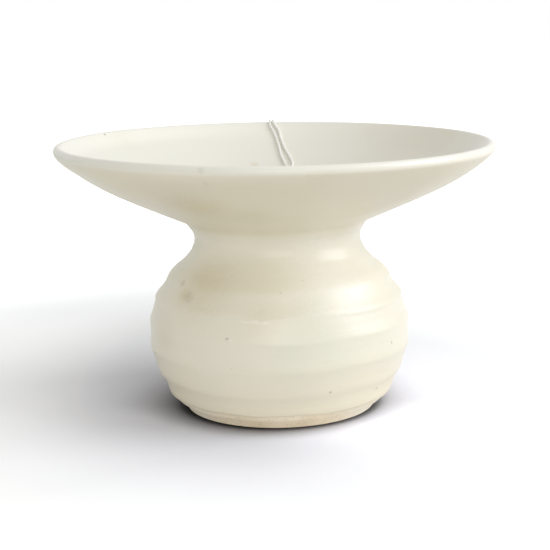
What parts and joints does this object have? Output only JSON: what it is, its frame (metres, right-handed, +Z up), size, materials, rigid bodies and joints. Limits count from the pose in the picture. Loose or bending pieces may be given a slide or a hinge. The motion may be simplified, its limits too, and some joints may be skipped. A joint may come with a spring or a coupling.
{
  "type": "pottery vase",
  "caption": "Hand-thrown vase: a wide flared dish on a narrow neck over a squat ribbed bulb, cream glazed, with a bare clay foot and a doubled string over the rim.",
  "frame": {"origin": "middle of the foot ring's flat face, on the surface that the vase stands on", "axes": "+Z up along the axis that the vase was thrown on; the pictured side faces -Y, and the string lies over the rim at +Y"},
  "size_m": [0.24, 0.2438, 0.1495],
  "materials": {
    "bare_stoneware": "bare fired stoneware, matt and slightly gritty",
    "fired_slip": "fired clay slip, matt",
    "cream_glaze": "cream satin glaze",
    "cotton_string": "twisted white cotton string"
  },
  "bodies": {
    "root": {"thrown_bulb": "bare_stoneware", "flared_dish": "bare_stoneware", "luting_slip": "fired_slip", "outer_glaze": "cream_glaze", "liner_glaze": "cream_glaze", "tie_string": "cotton_string", "string_knot": "cotton_string"}
  },
  "joints": []
}
